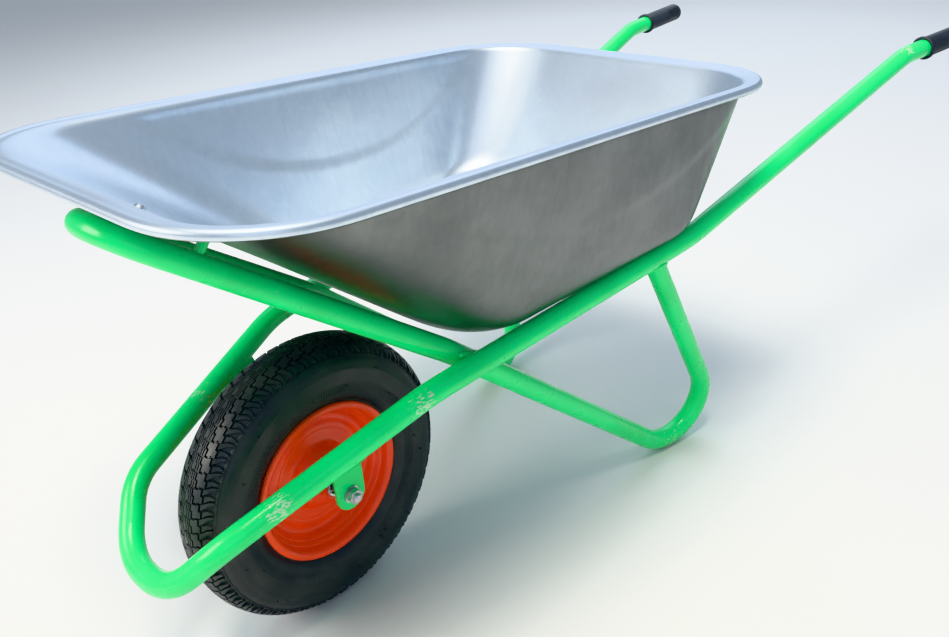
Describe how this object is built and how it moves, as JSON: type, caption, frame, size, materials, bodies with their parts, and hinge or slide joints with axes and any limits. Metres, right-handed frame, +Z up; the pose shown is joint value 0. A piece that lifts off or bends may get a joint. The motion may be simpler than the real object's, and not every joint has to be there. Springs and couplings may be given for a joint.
{
  "type": "wheelbarrow",
  "caption": "Wheelbarrow with a deep galvanised tray on a bent green tube frame that loops round one pneumatic wheel.",
  "frame": {"origin": "middle of the bounding box, on the ground under it", "axes": "+X forwards from the handles to the wheel, +Y to the pusher's left, +Z up"},
  "size_m": [1.674, 0.6888, 0.7074],
  "materials": {
    "frame_paint": "gloss enamel",
    "galvanised": "galvanised, drawn",
    "grip_rubber": "moulded, ribbed",
    "zinc_steel": "zinc plated",
    "bearing_steel": "ground",
    "rim_paint": "gloss enamel",
    "tyre_rubber": "moulded rubber",
    "tube_rubber": "matt",
    "valve_plastic": "matt"
  },
  "bodies": {
    "frame": {"main_frame_tube": "frame_paint", "leg_frame_tube": "frame_paint", "rear_crossbar": "frame_paint", "axle_bracket_left": "frame_paint", "axle_bracket_right": "frame_paint", "nose_bosses": "frame_paint", "tray": "galvanised", "grip_left": "grip_rubber", "grip_right": "grip_rubber", "axle": "zinc_steel", "axle_nut_left": "zinc_steel", "axle_nut_right": "zinc_steel", "axle_washer_left": "zinc_steel", "axle_washer_right": "zinc_steel", "axle_spacer_left": "zinc_steel", "axle_spacer_right": "zinc_steel", "tray_bolts": "zinc_steel", "tray_washers": "zinc_steel", "tray_nuts": "zinc_steel", "bearing_inner_left": "bearing_steel", "bearing_inner_right": "bearing_steel"},
    "wheel": {"bearing_balls_left": "bearing_steel", "bearing_balls_right": "bearing_steel", "bearing_outer_left": "bearing_steel", "bearing_outer_right": "bearing_steel", "hub_tube": "rim_paint", "rim_left": "rim_paint", "rim_right": "rim_paint", "tyre": "tyre_rubber", "inner_tube": "tube_rubber", "valve_stem": "tube_rubber", "valve_cap": "valve_plastic"}
  },
  "joints": [
    {"name": "wheel_spin", "type": "hinge", "parent": "frame", "child": "wheel", "pos_m": [0.565, 0, 0.2], "axis": [0, 1, 0], "continuous": true}
  ]
}
